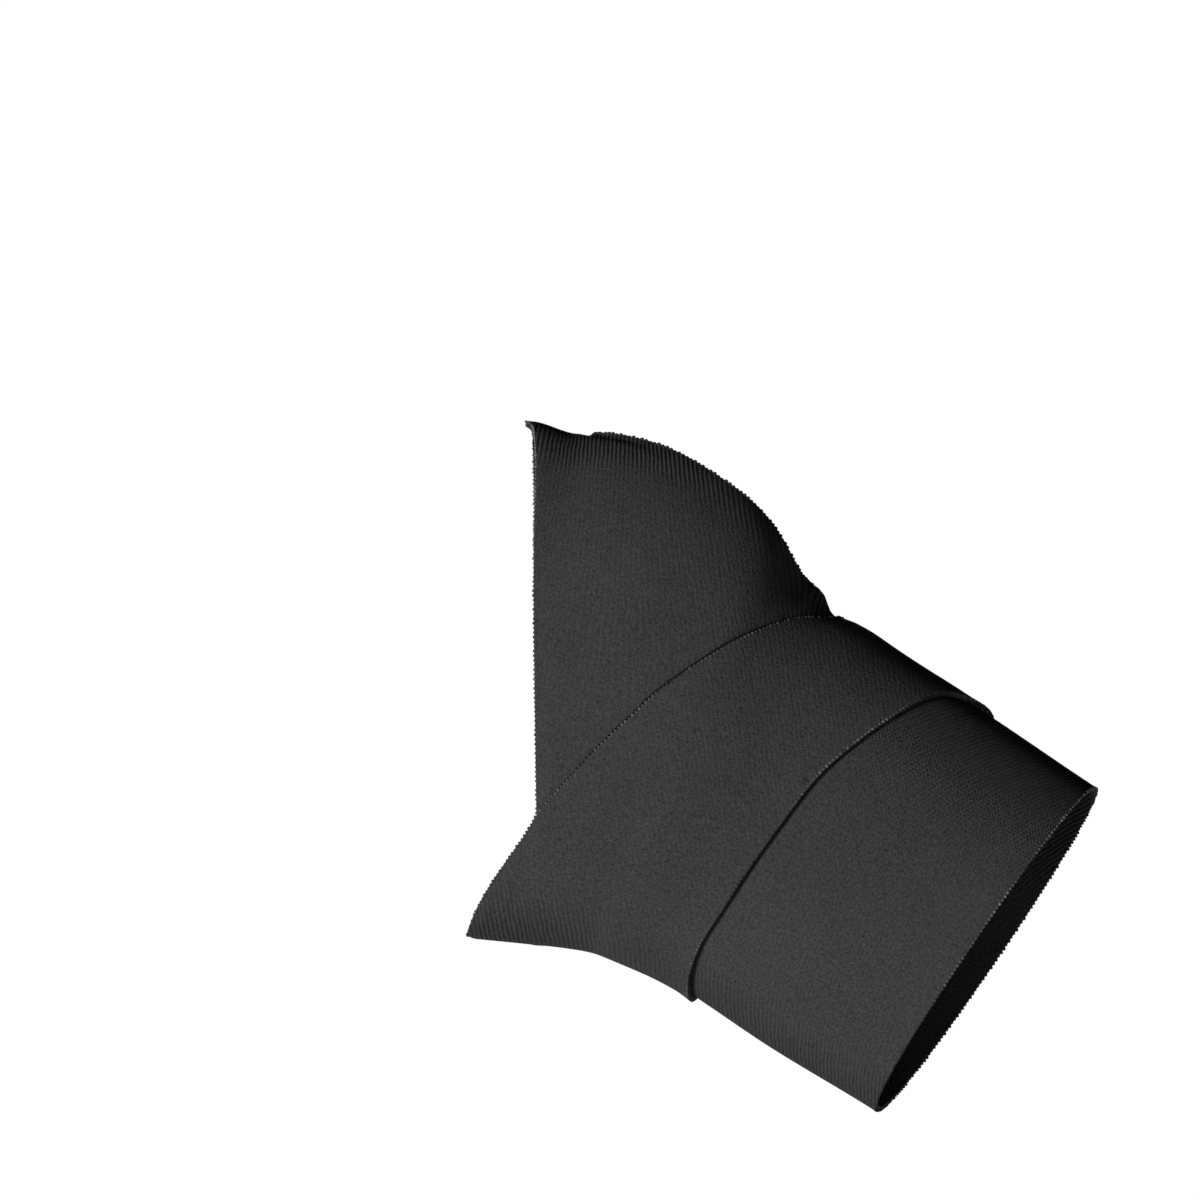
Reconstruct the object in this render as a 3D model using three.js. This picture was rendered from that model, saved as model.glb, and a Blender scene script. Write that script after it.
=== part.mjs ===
// A thin knitted wrist wrap, held in the form it has when worn: a sleeve round the wrist and the
// hand with a hole for the thumb, a strap that crosses over it, and a hook tab under the strap's tail.
// Millimetres, +Z up. +X runs along the forearm, level, and the back of the hand faces -Y.
// The origin is the middle of the wrist, in the hollow.

import * as THREE from 'three';

// Driving dimensions
const SLEEVE_LENGTH = 82; // down the middle of the sleeve, from the forearm edge to the hand edge
const WRIST_HEIGHT = 62; // the hollow at the wrist, from the thumb side to the little finger side
const WRIST_DEPTH = 40; // the hollow at the wrist, from the back of the wrist to the palm side
const SLEEVE_CLOTH = 1; // thickness of the sleeve's knit
const STRAP_CLOTH = 1; // thickness of the strap's knit
const TAB_THICKNESS = 1;
const LAYER_GAP = 0.3; // clear space between one layer and the next
const BUNCH_RISE = 1.4; // how far the sleeve bunches up behind the thumb

// How finely the surfaces are divided
const ROUND_STEPS = 80;
const STEPS_TO_HOLE = 14;
const STEPS_BY_HOLE = 7;
const STEPS_PAST_HOLE = 2;
const STRAP_STEP = 5; // degrees
const STRAP_STEPS_ACROSS = 10;
const TAB_STEPS = 5;
const NORMAL_STEP = 0.01; // share of the sleeve's length over which its slope is taken

// Sections of the hollow, from past the forearm edge to past the hand edge. along, x and z are
// shares of the sleeve's length, height is a share of the wrist's height, and y, back and palm are
// shares of the wrist's depth. lean is the angle of the section's height from level, tilt turns its
// back towards the hand, both in degrees, and power is 2 for an ellipse and more for a squarer form.
const SECTIONS = [
  { along: -0.2, x: 0.565, z: -0.365, lean: 55, height: 0.955,
    y: -0.26, back: 0.5, palm: 0.51, tilt: 9, power: 2.2 },
  { along: 0, x: 0.405, z: -0.261, lean: 55.8, height: 0.951,
    y: -0.17, back: 0.49, palm: 0.51, tilt: 9, power: 2.2 },
  { along: 0.25, x: 0.203, z: -0.132, lean: 57, height: 0.968,
    y: -0.08, back: 0.475, palm: 0.5, tilt: 9, power: 2.2 },
  { along: 0.48, x: 0, z: 0, lean: 58, height: 0.968,
    y: 0, back: 0.465, palm: 0.5, tilt: 9, power: 2.2 },
  { along: 0.62, x: -0.117, z: 0.077, lean: 63, height: 1.015,
    y: 0.01, back: 0.465, palm: 0.53, tilt: 8, power: 2.2 },
  { along: 0.7, x: -0.165, z: 0.156, lean: 67, height: 1.16,
    y: 0.02, back: 0.465, palm: 0.58, tilt: 6, power: 2.2 },
  { along: 0.8, x: -0.258, z: 0.214, lean: 74, height: 1.245,
    y: 0.03, back: 0.455, palm: 0.62, tilt: 4, power: 2.25 },
  { along: 0.9, x: -0.353, z: 0.241, lean: 82, height: 1.254,
    y: 0.04, back: 0.435, palm: 0.62, tilt: 2, power: 2.3 },
  { along: 0.95, x: -0.406, z: 0.241, lean: 86.5, height: 1.237,
    y: 0.045, back: 0.42, palm: 0.59, tilt: 1, power: 2.3 },
  { along: 1, x: -0.449, z: 0.254, lean: 91, height: 1.262,
    y: 0.05, back: 0.4, palm: 0.56, tilt: 0, power: 2.35 },
  { along: 1.2, x: -0.653, z: 0.231, lean: 99, height: 1.235,
    y: 0.06, back: 0.36, palm: 0.46, tilt: 0, power: 2.4 },
];

// The thumb hole's edge in equal steps once round it, from its hand end by the back of the hand:
// along is a share of the sleeve's length, and turn is in degrees from the thumb side, positive on
// the back of the hand.
const THUMB_HOLE = [
  { along: 0.932, turn: -14 },
  { along: 0.918, turn: 4 },
  { along: 0.865, turn: 13 },
  { along: 0.775, turn: 19.5 },
  { along: 0.69, turn: 16 },
  { along: 0.627, turn: 3 },
  { along: 0.613, turn: -12 },
  { along: 0.635, turn: -32 },
  { along: 0.69, turn: -47 },
  { along: 0.775, turn: -55 },
  { along: 0.86, turn: -48 },
  { along: 0.915, turn: -33 },
];
const HOLE_PULL = { along: 0.25, turn: 60 }; // how far from the hole the cloth's rows bend round it

// The strap from its start on the palm, round the little finger side, over the back of the hand and
// round the thumb side to the end of its tail. hand and arm are its two edges, shares of the
// sleeve's length at that turn.
const STRAP = [
  { turn: 246, hand: 0.93, arm: 0.42 },
  { turn: 225, hand: 1.02, arm: 0.42 },
  { turn: 203, hand: 1.13, arm: 0.42 },
  { turn: 180, hand: 1.2, arm: 0.415 },
  { turn: 165, hand: 1.19, arm: 0.42 },
  { turn: 150, hand: 1.158, arm: 0.43 },
  { turn: 135, hand: 1.092, arm: 0.435 },
  { turn: 120, hand: 0.99, arm: 0.43 },
  { turn: 105, hand: 0.867, arm: 0.427 },
  { turn: 90, hand: 0.768, arm: 0.421 },
  { turn: 75, hand: 0.702, arm: 0.412 },
  { turn: 60, hand: 0.661, arm: 0.39 },
  { turn: 45, hand: 0.629, arm: 0.366 },
  { turn: 30, hand: 0.596, arm: 0.344 },
  { turn: 15, hand: 0.56, arm: 0.317 },
  { turn: 0, hand: 0.547, arm: 0.262 },
  { turn: -35, hand: 0.54, arm: 0.24 },
  { turn: -70, hand: 0.56, arm: 0.275 },
  { turn: -105, hand: 0.62, arm: 0.35 },
  { turn: -141, hand: 0.69, arm: 0.45 },
];
const TAIL_LIFT = { from: -92, to: -110 }; // the turns over which the tail climbs onto the tab

// The hook tab between the strap's start and its tail, in the same terms
const TAB = { firstTurn: 221, lastTurn: 242, hand: 0.66, arm: 0.47 };

// The bunched cloth behind the thumb, and how far it reaches along and round
const BUNCH = { along: 0.607, turn: -2, reachAlong: 0.036, reachTurn: 27 };

// A value between the rows of a table: a smooth curve through them that keeps to their slopes
function between(table, key, column, at) {
  const rising = table[1][key] > table[0][key] ? 1 : -1;
  const last = table.length - 1;
  let i = 0;
  while (i < last - 1 && (at - table[i + 1][key]) * rising > 0) i += 1;
  const slope = (k) => (table[k + 1][column] - table[k][column]) / (table[k + 1][key] - table[k][key]);
  const slopeAt = (k) => {
    if (k === 0) return slope(0);
    if (k === last) return slope(last - 1);
    return (slope(k - 1) + slope(k)) / 2;
  };
  const width = table[i + 1][key] - table[i][key];
  const t = THREE.MathUtils.clamp((at - table[i][key]) / width, 0, 1);
  const start = table[i][column] * (1 + 2 * t) * (1 - t) ** 2;
  const end = table[i + 1][column] * t * t * (3 - 2 * t);
  return start + end + width * (slopeAt(i) * t * (1 - t) ** 2 + slopeAt(i + 1) * t * t * (t - 1));
}

const rounded = (value, power) => Math.sign(value) * Math.abs(value) ** (2 / power);

// How far the cloth stands off the hollow where it bunches up behind the thumb
function bunch(along, turn) {
  const a = (along - BUNCH.along) / BUNCH.reachAlong;
  const b = (turn - BUNCH.turn) / BUNCH.reachTurn;
  return BUNCH_RISE * Math.max(0, 1 - a * a - b * b) ** 2;
}

// A point on the hollow: along is a share of the sleeve's length, and turn is in degrees round it,
// from the thumb side by the back of the hand.
function onHollow(along, turn) {
  const at = (column) => between(SECTIONS, 'along', column, along);
  const angle = THREE.MathUtils.degToRad(turn);
  const lean = THREE.MathUtils.degToRad(at('lean'));
  const tilt = THREE.MathUtils.degToRad(at('tilt'));
  const side = Math.sin(angle) > 0 ? at('back') : at('palm');
  const rise = (at('height') * WRIST_HEIGHT * rounded(Math.cos(angle), at('power'))) / 2;
  const out = side * WRIST_DEPTH * rounded(Math.sin(angle), at('power'));
  const forward = out * Math.sin(tilt);
  return new THREE.Vector3(
    at('x') * SLEEVE_LENGTH + rise * Math.cos(lean) - forward * Math.sin(lean),
    at('y') * WRIST_DEPTH - out * Math.cos(tilt),
    at('z') * SLEEVE_LENGTH + rise * Math.sin(lean) + forward * Math.cos(lean),
  );
}

// A point at a height off the hollow, square to it, and over the bunched cloth
function onForm(along, turn, height) {
  const lengthwise = onHollow(along + NORMAL_STEP, turn).sub(onHollow(along - NORMAL_STEP, turn));
  const round = onHollow(along, turn + 1).sub(onHollow(along, turn - 1));
  const normal = lengthwise.cross(round).normalize();
  return onHollow(along, turn).addScaledVector(normal, height + bunch(along, turn));
}

// A slab of cloth in cells: face(i, j, side) gives its points, with i lengthwise, j across, and side
// 0 for the face towards the hollow and 1 for the outer one. A looped slab joins its last row to its
// first, and open(i, j) says which cells are left out.
function slab({ length, width, looped = false, open = () => false, face }) {
  const points = [];
  const triangles = [];
  const made = new Map();
  const corner = (i, j, side) => {
    const row = looped ? i % length : i;
    const name = `${row} ${j} ${side}`;
    if (!made.has(name)) made.set(name, points.push(face(row, j, side)) - 1);
    return made.get(name);
  };
  const quad = (a, b, c, d) => triangles.push(a, b, c, a, c, d);
  const there = (i, j) => {
    const row = looped ? (i + length) % length : i;
    return row >= 0 && row < length && j >= 0 && j < width && !open(row, j);
  };
  const rim = (i0, j0, i1, j1) =>
    quad(corner(i0, j0, 0), corner(i1, j1, 0), corner(i1, j1, 1), corner(i0, j0, 1));
  for (let i = 0; i < length; i += 1) {
    for (let j = 0; j < width; j += 1) {
      if (!there(i, j)) continue;
      quad(corner(i, j, 1), corner(i, j + 1, 1), corner(i + 1, j + 1, 1), corner(i + 1, j, 1));
      quad(corner(i, j, 0), corner(i + 1, j, 0), corner(i + 1, j + 1, 0), corner(i, j + 1, 0));
      if (!there(i - 1, j)) rim(i, j, i, j + 1);
      if (!there(i + 1, j)) rim(i + 1, j + 1, i + 1, j);
      if (!there(i, j - 1)) rim(i + 1, j, i, j);
      if (!there(i, j + 1)) rim(i, j + 1, i + 1, j + 1);
    }
  }
  const geometry = new THREE.BufferGeometry().setFromPoints(points);
  geometry.setIndex(triangles);
  return geometry;
}

// The cells that the thumb hole takes: the box round its edge
const holeEdge = new THREE.CatmullRomCurve3(
  THUMB_HOLE.map((p) => new THREE.Vector3(p.along, p.turn, 0)),
  true,
  'centripetal',
);
const holeBox = new THREE.Box3().setFromPoints(THUMB_HOLE.map((p) => new THREE.Vector3(p.along, p.turn, 0)));
const holeRows = [holeBox.min.y, holeBox.max.y].map((turn) => Math.round(((turn + 180) / 360) * ROUND_STEPS));
const holeColumns = [STEPS_TO_HOLE, STEPS_TO_HOLE + STEPS_BY_HOLE];
const sleeveSteps = STEPS_TO_HOLE + STEPS_BY_HOLE + STEPS_PAST_HOLE;

// How far along the sleeve a column of its cells lies
function columnAlong(j) {
  const { min, max } = holeBox;
  if (j <= holeColumns[0]) return (min.x * j) / STEPS_TO_HOLE;
  if (j <= holeColumns[1]) return min.x + ((max.x - min.x) * (j - holeColumns[0])) / STEPS_BY_HOLE;
  return max.x + ((1 - max.x) * (j - holeColumns[1])) / STEPS_PAST_HOLE;
}

// Where a corner of the sleeve's cells lies: the box of cells round the hole is drawn in to the
// hole's edge, and the rows near it follow, less and less with the distance.
function sleevePlace(i, j) {
  const turn = (360 * i) / ROUND_STEPS - 180;
  const along = columnAlong(j);
  const share = (value, low, high) => (2 * (value - low)) / (high - low) - 1;
  const p = THREE.MathUtils.clamp(share(j, ...holeColumns), -1, 1);
  const q = THREE.MathUtils.clamp(share(i, ...holeRows), -1, 1);
  const angle = Math.atan2(q * Math.sqrt(1 - (p * p) / 2), p * Math.sqrt(1 - (q * q) / 2));
  const edge = holeEdge.getPoint(THREE.MathUtils.euclideanModulo(angle / (2 * Math.PI), 1));
  const boxTurn = (360 * THREE.MathUtils.clamp(i, ...holeRows)) / ROUND_STEPS - 180;
  const boxAlong = columnAlong(THREE.MathUtils.clamp(j, ...holeColumns));
  const room = along > boxAlong ? 1 - boxAlong : HOLE_PULL.along;
  const near = Math.max(0, 1 - Math.abs(along - boxAlong) / room);
  const beside = 1 - THREE.MathUtils.smoothstep(Math.abs(turn - boxTurn), 0, HOLE_PULL.turn);
  return {
    along: along + (edge.x - boxAlong) * near * beside,
    turn: turn + (edge.y - boxTurn) * near * beside,
  };
}

// The sleeve, from its forearm edge to its hand edge, once round
function thumbSleeve() {
  return slab({
    length: ROUND_STEPS,
    width: sleeveSteps,
    looped: true,
    open: (i, j) => i >= holeRows[0] && i < holeRows[1] && j >= holeColumns[0] && j < holeColumns[1],
    face: (i, j, side) => {
      const place = sleevePlace(i, j);
      return onForm(place.along, place.turn, side * SLEEVE_CLOTH);
    },
  });
}

// How high the strap's inner face lies: on the sleeve, and on the tab where its tail ends
function strapHeight(turn) {
  const onSleeve = SLEEVE_CLOTH + LAYER_GAP;
  const onTab = STRAP_CLOTH + LAYER_GAP + TAB_THICKNESS + LAYER_GAP;
  return onSleeve + onTab * THREE.MathUtils.smoothstep(-turn, -TAIL_LIFT.from, -TAIL_LIFT.to);
}

// The strap, from its start on the palm to the end of its tail
function crossStrap() {
  const first = STRAP[0].turn;
  const span = first - STRAP[STRAP.length - 1].turn;
  const steps = Math.round(span / STRAP_STEP);
  return slab({
    length: steps,
    width: STRAP_STEPS_ACROSS,
    face: (i, j, side) => {
      const turn = first - (span * i) / steps;
      const hand = between(STRAP, 'turn', 'hand', turn);
      const arm = between(STRAP, 'turn', 'arm', turn);
      const along = hand + ((arm - hand) * j) / STRAP_STEPS_ACROSS;
      return onForm(along, turn, strapHeight(turn) + side * STRAP_CLOTH);
    },
  });
}

// The hook tab, flat between the strap's start and its tail
function hookTab() {
  const seat = SLEEVE_CLOTH + LAYER_GAP + STRAP_CLOTH + LAYER_GAP;
  return slab({
    length: TAB_STEPS,
    width: TAB_STEPS,
    face: (i, j, side) => {
      const turn = TAB.firstTurn + ((TAB.lastTurn - TAB.firstTurn) * i) / TAB_STEPS;
      const along = TAB.arm + ((TAB.hand - TAB.arm) * j) / TAB_STEPS;
      return onForm(along, turn, seat + side * TAB_THICKNESS);
    },
  });
}

const knit = new THREE.MeshStandardMaterial({ color: 0x2e2e2f, roughness: 0.92, metalness: 0 });
const hookTape = new THREE.MeshStandardMaterial({ color: 0x1a1a1b, roughness: 0.7, metalness: 0 });

function piece(name, geometry, material) {
  const mesh = new THREE.Mesh(geometry, material);
  mesh.name = name;
  return mesh;
}

const wrap = new THREE.Group();
wrap.name = 'wrist_wrap';
wrap.add(piece('thumb_sleeve', thumbSleeve(), knit));
wrap.add(piece('cross_strap', crossStrap(), knit));
wrap.add(piece('hook_tab', hookTab(), hookTape));

export default wrap;
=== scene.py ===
# %% [markdown]
# # A knitted wrist wrap
# The object is a thin charcoal wrist wrap in the form it has when it is worn: a wide sleeve with a
# thumb hole, and a strap that crosses over it at the back. It is all cloth, so the work is in three
# things: one smooth form that every layer lies on, cut edges with the small loops that such a knit
# shows there, and a material with ribs at their real size. The solids of the part are loaded first,
# because what is seen takes their place and has to keep to their size.

# %% Load the frame
import math

import bpy
import numpy as np
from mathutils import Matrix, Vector


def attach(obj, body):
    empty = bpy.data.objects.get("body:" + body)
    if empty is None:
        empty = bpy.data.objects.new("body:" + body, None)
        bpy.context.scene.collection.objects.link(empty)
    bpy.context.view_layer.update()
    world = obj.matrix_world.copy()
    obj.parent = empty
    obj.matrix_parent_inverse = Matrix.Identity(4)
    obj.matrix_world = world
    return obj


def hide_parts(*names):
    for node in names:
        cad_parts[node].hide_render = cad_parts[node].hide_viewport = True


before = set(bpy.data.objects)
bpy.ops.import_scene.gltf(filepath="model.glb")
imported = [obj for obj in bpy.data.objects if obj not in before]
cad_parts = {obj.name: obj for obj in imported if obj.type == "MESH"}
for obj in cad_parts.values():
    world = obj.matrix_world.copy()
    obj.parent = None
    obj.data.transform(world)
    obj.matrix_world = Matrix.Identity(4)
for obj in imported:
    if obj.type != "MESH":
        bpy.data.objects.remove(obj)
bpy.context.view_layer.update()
MM = 0.001
print("solids in the frame:", sorted(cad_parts))

# %% [markdown]
# ## The camera
# The photograph looks square at the back of the wrap, from far enough away that there is hardly any
# perspective. A camera close by could be turned and shifted until the outline fits, but the far side
# would then look too small, so the camera has a long lens and stands well back. It is placed from
# the photograph's own pixels, once the size of one pixel is known.

# %% Camera
PHOTO_SIDE = 1200
PHOTO_PIXELS_PER_MM = 6.4
WRIST_PIXEL = (772, 811)  # where the middle of the wrist lies in the photograph
LENS = 300
SENSOR = 36
FARTHEST_SEEN = 20  # metres


def photo_place(column, row):
    """The place, in metres, of a pixel of the photograph in the plane of the middle of the wrist."""
    scale = MM / PHOTO_PIXELS_PER_MM
    return Vector(((column - WRIST_PIXEL[0]) * scale, 0, (WRIST_PIXEL[1] - row) * scale))


camera = bpy.data.objects.new("camera", bpy.data.cameras.new("camera"))
bpy.context.collection.objects.link(camera)
camera.data.lens = LENS
camera.data.sensor_width = SENSOR
photo_width = PHOTO_SIDE / PHOTO_PIXELS_PER_MM * MM
camera.location = photo_place(PHOTO_SIDE / 2, PHOTO_SIDE / 2)
camera.location.y -= photo_width * LENS / SENSOR
camera.rotation_euler = (math.radians(90), 0, 0)
camera.data.clip_end = FARTHEST_SEEN
bpy.context.scene.camera = camera
print("camera", round(-camera.location.y, 2), "m away, seeing", round(photo_width / MM, 1), "mm")

# %% [markdown]
# ## Helpers for nodes
# A pattern is easier to read as sums and products than as a web of nodes. So one small class wraps a
# socket and overloads the operators, and an expression adds its own Math nodes. Every other node
# comes from one method. It takes the node's type, then its settings, which have to be set first
# because they change the sockets, and then the values or links of its sockets.

# %% A small language for node maths


class Shade:
    """A socket that can be used in an expression."""

    def __init__(self, tree, socket):
        self.tree, self.socket = tree, socket

    def math(self, operation, *others):
        values = dict(enumerate((self, *others)))
        return self.tree.node("ShaderNodeMath", {"operation": operation}, values)

    def __add__(self, other):
        return self.math("ADD", other)

    __radd__ = __add__

    def __mul__(self, other):
        return self.math("MULTIPLY", other)

    __rmul__ = __mul__

    def __sub__(self, other):
        return self.math("SUBTRACT", other)

    def __rsub__(self, other):
        return (self * -1) + other

    def sine(self):
        return self.math("SINE")

    def clamped(self):
        return self.tree.node("ShaderNodeClamp", Value=self)


# %% A tree and its nodes
class Tree:
    """A node tree, and the one method that adds nodes to it."""

    def __init__(self, node_tree):
        self.node_tree = node_tree

    def node(self, kind, settings=None, numbered=None, out=0, **named):
        """Adds a node. The values or links of its sockets are given by number or by name. What comes
        back is one of its outputs, for an expression or for another node."""
        node = self.node_tree.nodes.new(kind)
        for key, value in (settings or {}).items():
            setattr(node, key, value)
        sockets = {key.replace("_", " "): value for key, value in named.items()}
        for key, value in {**(numbered or {}), **sockets}.items():
            if isinstance(value, Shade):
                self.node_tree.links.new(value.socket, node.inputs[key])
            else:
                node.inputs[key].default_value = value
        return Shade(self, node.outputs[out]) if len(node.outputs) else None


# %% A material as a tree
MIX_FACTOR, MIX_FIRST, MIX_SECOND, MIX_RESULT = 0, 6, 7, 2  # the colour sockets of a Mix node
OBJECT_PLACE = 3  # the Object output of a Texture Coordinate node


class Finish(Tree):
    """A material that is being put together."""

    def __init__(self, name):
        self.material = bpy.data.materials.new(name)
        self.material.use_nodes = True
        super().__init__(self.material.node_tree)
        self.node_tree.nodes.clear()

    def blend(self, factor, first, second):
        """One colour or the other, by a factor."""
        sockets = {MIX_FACTOR: factor, MIX_FIRST: first, MIX_SECOND: second}
        return self.node("ShaderNodeMix", {"data_type": "RGBA"}, sockets, out=MIX_RESULT)

    def surface(self, **sockets):
        """The shader, with its sockets set or linked, and the output; returns the material."""
        shader = self.node("ShaderNodeBsdfPrincipled", **sockets)
        self.node("ShaderNodeOutputMaterial", Surface=shader)
        return self.material


# %% [markdown]
# ## Floor and light
# The wrap is held up where a wrist would hold it, and a pale floor lies well below it. Black cloth
# shows every light that falls on it, and an evenly bright floor would light the little finger side
# from below, where the photograph is dark. So the floor is paler and glows more the further off it
# is. One soft lamp stands in front and to the left, level with the wrap, so that the thumb side
# falls into the dark and its ribs show. A second one lights the palm side, for views from behind.

# %% The floor
FLOOR_BELOW, FLOOR_SIZE = 0.62, 12  # metres
PAINT_BELOW, PAINT_FAR_OFF = 0.35, 0.88  # how pale the floor is: less where it would light the cloth
GLOW_BELOW, GLOW_FAR_OFF = 0.1, 0.45
PALER_FROM, PALER_OVER = 0.7, 1.5  # metres from the wrap where it starts to get paler, and over what


def stage_floor():
    mesh = bpy.data.meshes.new("floor")
    half = FLOOR_SIZE / 2
    corners = [(-half, -half), (half, -half), (half, half), (-half, half)]
    mesh.from_pydata([(x, y, -FLOOR_BELOW) for x, y in corners], [], [(0, 1, 2, 3)])
    floor = bpy.data.objects.new("floor", mesh)
    bpy.context.collection.objects.link(floor)
    paint = Finish("floor_paint")
    place = paint.node("ShaderNodeTexCoord", out=OBJECT_PLACE)
    away = paint.node("ShaderNodeVectorMath", {"operation": "LENGTH"}, Vector=place, out=1)
    grown = ((away - PALER_FROM) * (1 / PALER_OVER)).clamped()
    colour, glow = (
        paint.blend(grown, (low, low, low, 1), (high, high, high, 1))
        for low, high in ((PAINT_BELOW, PAINT_FAR_OFF), (GLOW_BELOW, GLOW_FAR_OFF))
    )
    mesh.materials.append(
        paint.surface(Base_Color=colour, Roughness=0.9, Emission_Color=glow, Emission_Strength=1.0)
    )


stage_floor()
print("floor", round(FLOOR_BELOW / MM), "mm below the wrist")

# %% Lamps and backdrop
LIGHT_FROM_AROUND = 0.012
BACKDROP = 1.0  # how bright the world is where the camera sees it
LAMPS = (  # name, place, side in metres, power in watts
    ("key", (-1.18, -1.24, -0.02), 0.42, 34),
    ("back", (-0.3, 1.7, 0.2), 0.6, 26),
)


def area_lamp(name, place, size, power):
    """A soft lamp that faces the wrap."""
    lamp = bpy.data.lights.new(name, "AREA")
    lamp.size = size
    lamp.energy = power
    lamp_object = bpy.data.objects.new(name, lamp)
    bpy.context.collection.objects.link(lamp_object)
    lamp_object.location = place
    lamp_object.rotation_euler = (-Vector(place)).to_track_quat("-Z", "Y").to_euler()


def world_light():
    """White behind the wrap, and a little even light on it."""
    world = bpy.data.worlds.new("studio")
    bpy.context.scene.world = world
    world.use_nodes = True
    world.node_tree.nodes.clear()
    tree = Tree(world.node_tree)
    seen = tree.node("ShaderNodeLightPath", out="Is Camera Ray")
    strength = seen * (BACKDROP - LIGHT_FROM_AROUND) + LIGHT_FROM_AROUND
    background = tree.node("ShaderNodeBackground", Color=(1, 1, 1, 1), Strength=strength)
    tree.node("ShaderNodeOutputWorld", Surface=background)


world_light()
for lamp in LAMPS:
    area_lamp(*lamp)
bpy.context.scene.view_settings.view_transform = "Standard"
print("lamps:", [(name, power) for name, _, _, power in LAMPS])

# %% [markdown]
# ## The form
# Each layer of the wrap lies on one form, the hollow that a wrist and a hand fill. The form is a
# short table of sections, from past the forearm edge to past the hand edge, and a smooth curve
# through the rows gives any section between them. The table holds the same shares of the same named
# sizes as the solids do, so every piece lands on the solid that it stands for.

# %% Sizes and sections
SLEEVE_LENGTH = 82 * MM  # down the middle of the sleeve
WRIST_HEIGHT = 62 * MM
WRIST_DEPTH = 40 * MM

COLUMNS = ("along", "x", "z", "lean", "height", "y", "back", "palm", "tilt", "power")
SECTIONS = np.array(
    [
        (-0.2, 0.565, -0.365, 55, 0.955, -0.26, 0.5, 0.51, 9, 2.2),
        (0, 0.405, -0.261, 55.8, 0.951, -0.17, 0.49, 0.51, 9, 2.2),
        (0.25, 0.203, -0.132, 57, 0.968, -0.08, 0.475, 0.5, 9, 2.2),
        (0.48, 0, 0, 58, 0.968, 0, 0.465, 0.5, 9, 2.2),
        (0.62, -0.117, 0.077, 63, 1.015, 0.01, 0.465, 0.53, 8, 2.2),
        (0.7, -0.165, 0.156, 67, 1.16, 0.02, 0.465, 0.58, 6, 2.2),
        (0.8, -0.258, 0.214, 74, 1.245, 0.03, 0.455, 0.62, 4, 2.25),
        (0.9, -0.353, 0.241, 82, 1.254, 0.04, 0.435, 0.62, 2, 2.3),
        (0.95, -0.406, 0.241, 86.5, 1.237, 0.045, 0.42, 0.59, 1, 2.3),
        (1, -0.449, 0.254, 91, 1.262, 0.05, 0.4, 0.56, 0, 2.35),
        (1.2, -0.653, 0.231, 99, 1.235, 0.06, 0.36, 0.46, 0, 2.4),
    ]
)


def between(table, at):
    """The rows of a table at any values of its first column: a smooth curve through them."""
    keys = table[:, 0]
    if keys[0] > keys[-1]:
        table, keys = table[::-1], keys[::-1]
    steps = np.diff(table, axis=0) / np.diff(keys)[:, None]
    slopes = np.vstack([steps[:1], (steps[:-1] + steps[1:]) / 2, steps[-1:]])
    row = np.clip(np.searchsorted(keys, at, side="right") - 1, 0, len(keys) - 2)
    width = (keys[row + 1] - keys[row])[..., None]
    t = np.clip((at[..., None] - keys[row][..., None]) / width, 0, 1)
    start = table[row] * (1 + 2 * t) * (1 - t) ** 2
    end = table[row + 1] * t * t * (3 - 2 * t)
    return start + end + width * (slopes[row] * t * (1 - t) ** 2 + slopes[row + 1] * t * t * (t - 1))


def on_hollow(along, turn, sections=SECTIONS):
    """Points on the hollow: along is a share of the sleeve's length, and turn is in degrees, from
    the thumb side by way of the back."""
    along, turn = np.broadcast_arrays(np.asarray(along, float), np.asarray(turn, float))
    section = dict(zip(COLUMNS, np.moveaxis(between(sections, along), -1, 0)))
    lean, tilt, angle = (np.radians(v) for v in (section["lean"], section["tilt"], turn))

    def rounded(value):
        return np.sign(value) * np.abs(value) ** (2 / section["power"])

    side = np.where(np.sin(angle) > 0, section["back"], section["palm"])
    rise = section["height"] * WRIST_HEIGHT * rounded(np.cos(angle)) / 2
    out = side * WRIST_DEPTH * rounded(np.sin(angle))
    forward = out * np.sin(tilt)
    return np.stack(
        [
            section["x"] * SLEEVE_LENGTH + rise * np.cos(lean) - forward * np.sin(lean),
            section["y"] * WRIST_DEPTH - out * np.cos(tilt),
            section["z"] * SLEEVE_LENGTH + rise * np.sin(lean) + forward * np.cos(lean),
        ],
        axis=-1,
    )


STEP_ALONG, STEP_TURN = 0.01, 1  # the steps that tell which way the hollow faces


def off_hollow(along, turn, height, sections=SECTIONS):
    """Points at a height off the hollow, square to it."""

    def across(step_along, step_turn):
        after = on_hollow(along + step_along, turn + step_turn, sections)
        return after - on_hollow(along - step_along, turn - step_turn, sections)

    lengthwise, around = across(STEP_ALONG, 0), across(0, STEP_TURN)
    normal = np.cross(lengthwise, around)
    normal /= np.linalg.norm(normal, axis=-1, keepdims=True)
    return on_hollow(along, turn, sections) + normal * np.asarray(height)[..., None]


print("the wrist is", WRIST_HEIGHT / MM, "by", WRIST_DEPTH / MM, "mm")

# %% [markdown]
# ## Cloth as a slab
# A knit is thin but not a bare surface: where it is cut, its thickness shows. So each piece is a
# slab with an outer and an inner face and a rim. The corners of the slab's cells are worked out as
# arrays, faces are skipped where the thumb hole is, and a bevel then rounds the rims. A UV map
# holds the place on the cloth in units of 100 mm, so that the ribs follow the cloth.

# %% The slab
RIM_ROUND = 0.32 * MM
RIM_SEGMENTS = 3
RIM_ANGLE = 55  # degrees between two faces that make a rim
UV_UNIT = 0.1  # metres of cloth for one unit of the UV map
SIDES = (  # the step to a cell's neighbour, and the corners between which it lies
    ((0, 1), (1, 2)),
    ((1, 0), (2, 3)),
    ((0, -1), (3, 0)),
    ((-1, 0), (0, 1)),
)


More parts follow.
